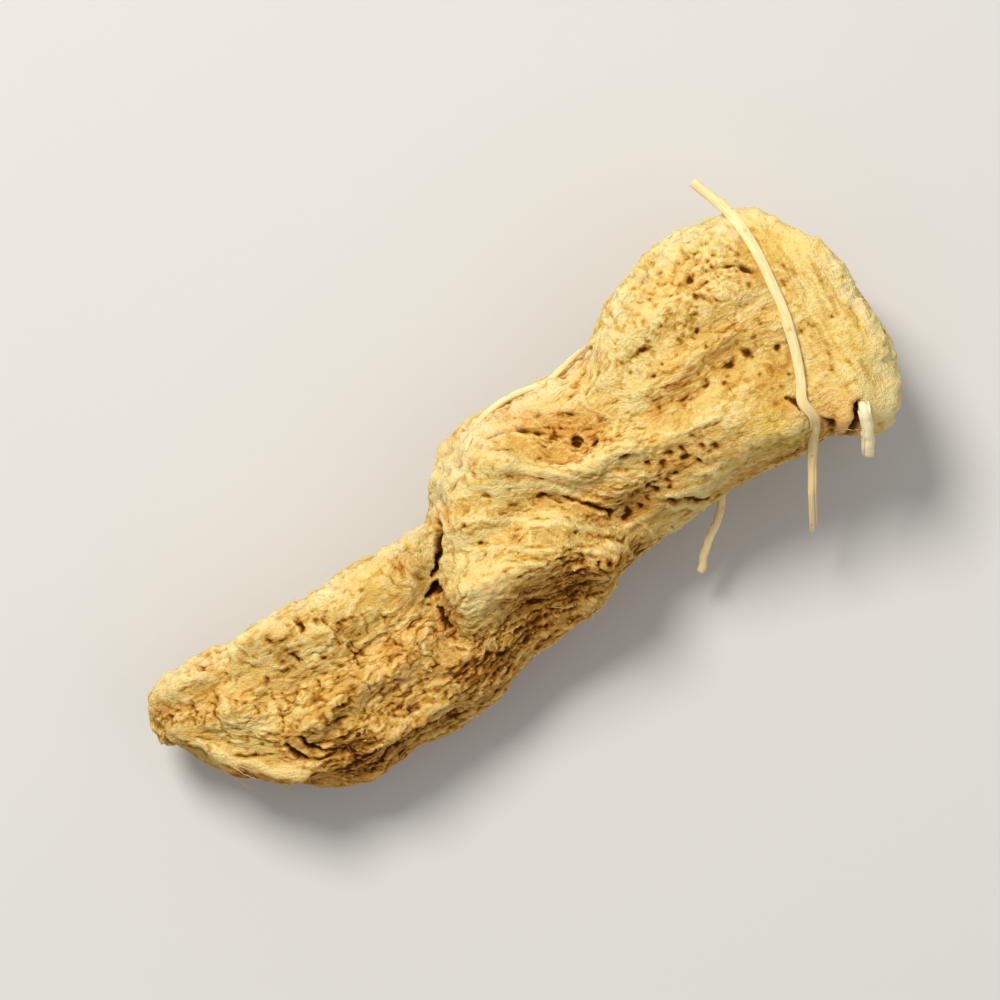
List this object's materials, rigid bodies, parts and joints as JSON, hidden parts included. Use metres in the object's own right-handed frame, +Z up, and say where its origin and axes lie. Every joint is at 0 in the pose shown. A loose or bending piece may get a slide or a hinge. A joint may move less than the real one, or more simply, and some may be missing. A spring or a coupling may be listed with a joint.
{
  "type": "dried ginger root piece",
  "caption": "Chopped, dried ginger root finger with a crumpled tail, a narrow waist, a broad head and loose fibres.",
  "frame": {"origin": "on the resting plane, below the middle of the bounding box", "axes": "+X from the crumpled tail to the broad head, +Y to the side of the head's shoulder, +Z up from the resting plane"},
  "size_m": [0.0178, 0.0082, 0.0045],
  "materials": {
    "dried_root": "dry, crumpled and fibrous"
  },
  "bodies": {
    "root": {"ginger_root": "dried_root"}
  },
  "joints": []
}
